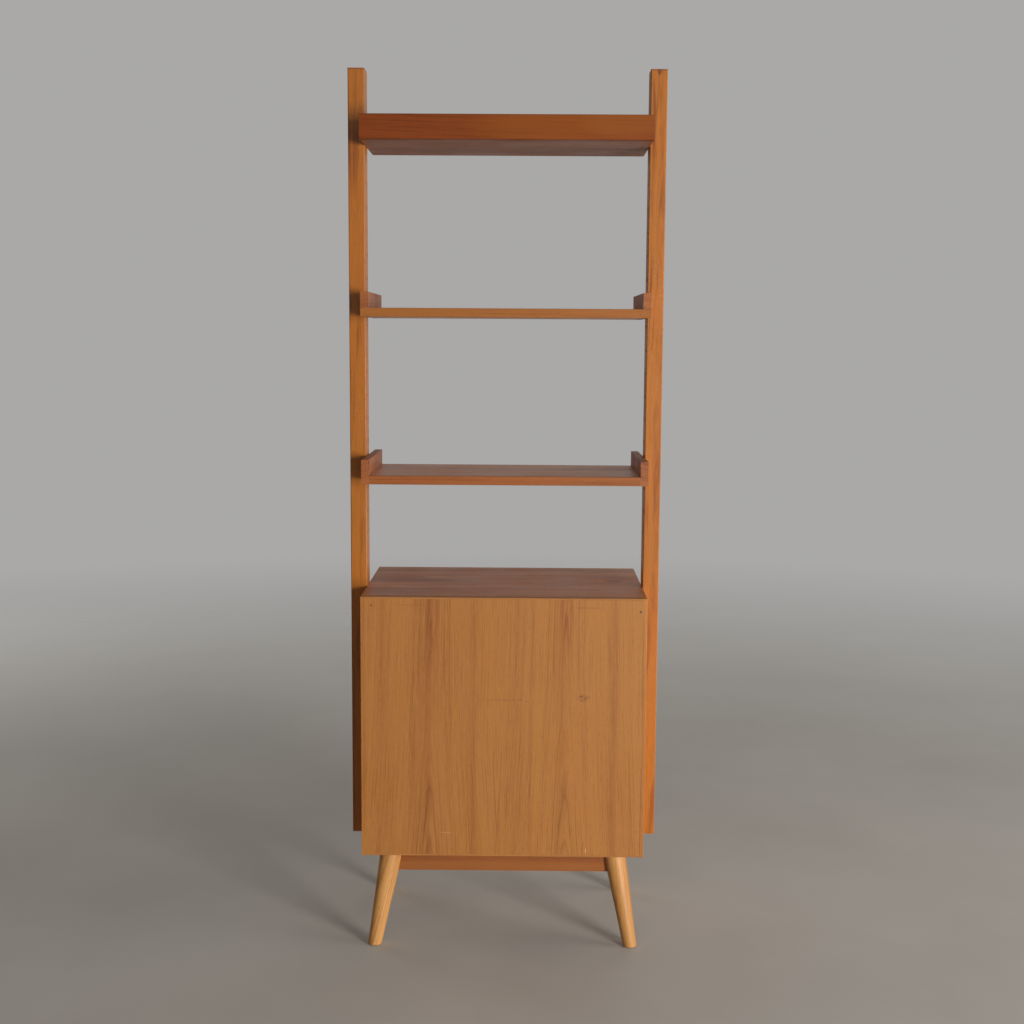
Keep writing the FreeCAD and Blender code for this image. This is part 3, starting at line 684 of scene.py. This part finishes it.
def make_stage():
    """A pale floor that fades into the even surround before its edge."""
    bm = bmesh.new()
    bm.faces.new([bm.verts.new(point) for point in circle((0, 0, 0), FLOOR_REACH, FLOOR_SIDES)])
    mesh = bpy.data.meshes.new("floor")
    bm.to_mesh(mesh)
    bm.free()
    g = Graph("floor")
    axes = g.object_axes()
    cloud = g.noise(g.vector(*axes), 4.0, 0.6, scale=1.3)
    colour = g.mix(g.remap(cloud, 0.3, 0.7), tone(204, 199, 191), tone(194, 189, 181))
    g.feed(g.shader.inputs["Base Color"], colour)
    g.shader.inputs["Roughness"].default_value = 0.8
    g.shader.inputs["Specular IOR Level"].default_value = 0.2
    clear = g.new("ShaderNodeBsdfTransparent")
    choose = g.new("ShaderNodeMixShader")
    g.feed(choose.inputs[0], g.remap(g.hypot(axes[0], axes[1]), *FLOOR_FADE, smooth=True))
    g.feed(choose.inputs[1], g.shader.outputs[0])
    g.feed(choose.inputs[2], clear.outputs[0])
    g.feed(g.tree.nodes["Material Output"].inputs["Surface"], choose.outputs[0])
    mesh.materials.append(g.material)
    floor = bpy.data.objects.new("floor", mesh)
    LINK(floor)


def aim(thing, target):
    thing.rotation_euler = (Vector(target) - thing.location).to_track_quat("-Z", "Y").to_euler()


def area_light(name, place, target, width, height, power, colour, glints=True):
    data = bpy.data.lights.new(name, "AREA")
    data.shape = "RECTANGLE"
    data.size, data.size_y = width, height
    data.energy = power
    data.color = colour
    light = bpy.data.objects.new(name, data)
    light.location = place
    light.visible_camera = False
    light.visible_glossy = glints
    LINK(light)
    aim(light, target)


def make_lights():
    """A window-like light from the front right, low down, with weak lights from the right, the front
    left and the back, in a dim surround that looks pale grey. The back lights leave no glints."""
    azimuth, distance = math.radians(38.0), 6.0
    place = (distance * math.sin(azimuth), -distance * math.cos(azimuth), 0.95)
    area_light("window", place, (0, 0, 0.2), 1.6, 2.0, 330.0, (1.0, 0.985, 0.96))
    area_light("side", (4.2, -0.9, 1.3), (0, 0, 0.9), 2.0, 2.2, 46.0, (1.0, 0.985, 0.96))
    area_light("fill", (-1.2, -4.6, 2.9), (0, 0, 0.9), 3.0, 2.0, 9.0, (1.0, 0.99, 0.97))
    area_light("back", (1.6, 4.6, 2.7), (0, 0, 0.9), 3.0, 2.0, 30.0, (1.0, 0.99, 0.97), False)
    area_light("back left", (-3.6, 3.2, 1.7), (0, 0, 0.9), 2.4, 2.0, 34.0, (1.0, 0.99, 0.97), False)
    bpy.context.scene.world = make_surround()


PLAIN_GREY = 0.40


def make_surround():
    """A room that is dim on the left and brighter on the right, and plain grey behind the object."""
    world = bpy.data.worlds.new("surround")
    world.use_nodes = True
    nodes, links = world.node_tree.nodes, world.node_tree.links
    split = nodes.new("ShaderNodeSeparateXYZ")
    links.new(nodes.new("ShaderNodeTexCoord").outputs["Generated"], split.inputs[0])
    rays = nodes.new("ShaderNodeLightPath")

    def across(left, right):
        node = nodes.new("ShaderNodeMapRange")
        links.new(split.outputs["X"], node.inputs["Value"])
        for socket, value in zip(("From Min", "From Max", "To Min", "To Max"), (-1.0, 1.0, left, right)):
            node.inputs[socket].default_value = value
        return node.outputs[0]

    def choose(share, first, second):
        node = nodes.new("ShaderNodeMix")
        links.new(share, node.inputs["Factor"])
        links.new(first, node.inputs["A"])
        links.new(second, node.inputs["B"])
        return node.outputs[0]

    lit = choose(rays.outputs["Is Glossy Ray"], across(0.09, 0.17), across(0.08, 0.62))
    seen = choose(rays.outputs["Is Camera Ray"], lit, across(PLAIN_GREY, PLAIN_GREY))
    links.new(seen, nodes["Background"].inputs["Strength"])
    nodes["Background"].inputs["Color"].default_value = (1.0, 0.99, 0.975, 1.0)
    return world


def make_camera():
    """A 51 mm lens a little right of the middle at eye height, tipped down by 7 degrees."""
    camera = bpy.data.cameras.new("camera")
    camera.sensor_width = 36.0
    camera.lens = 51.0
    yaw, pitch, roll = math.radians(-0.466), math.radians(6.912), math.radians(0.351)
    forward = Vector((math.sin(yaw) * math.cos(pitch), math.cos(yaw) * math.cos(pitch), -math.sin(pitch)))
    right = Vector((math.cos(yaw), -math.sin(yaw), 0.0))
    up = right.cross(forward)
    right, up = (math.cos(roll) * right + math.sin(roll) * up,
                 math.cos(roll) * up - math.sin(roll) * right)
    turn = Matrix((right, up, -forward)).transposed().to_4x4()
    eye = Vector((0.0415, -3.290, 1.3595))
    holder = bpy.data.objects.new("camera", camera)
    holder.matrix_world = Matrix.Translation(eye) @ turn
    LINK(holder)
    bpy.context.scene.camera = holder


# ---- build -------------------------------------------------------------------------------------
make_camera()
make_lights()
make_stage()
make_door()
make_uprights()
make_top_shelf()
make_thin_shelves()
make_cabinet()
make_rails()
for order, corner in enumerate(("front_left", "front_right", "rear_left", "rear_right")):
    make_leg("leg_" + corner, 81 + order)

BRASS = metal("brass", (0.72, 0.50, 0.22, 1.0), 0.32)
STEEL = metal("zinc plated steel", (0.62, 0.61, 0.58, 1.0), 0.34, tarnish=(0.45, 0.44, 0.42, 1.0))
make_bolt_heads(BRASS)
make_back_nails(STEEL)
dress(["hinge_leaves_door", "hinge_leaves_cabinet", "hinge_pins", "hinge_screws_door",
       "hinge_screws_cabinet"], BRASS)
dress(["upper_shelf_pegs", "lower_shelf_pegs", "inner_shelf_pins", "catch_magnet", "catch_strike",
       "catch_screws", "strike_screws", "leg_bolts"], STEEL)
dress(["catch_body"], moulded("catch plastic", tone(70, 50, 38)))
dress(["leg_glides"], moulded("glide plastic", tone(214, 208, 194)))

bpy.context.scene.view_settings.view_transform = "Standard"
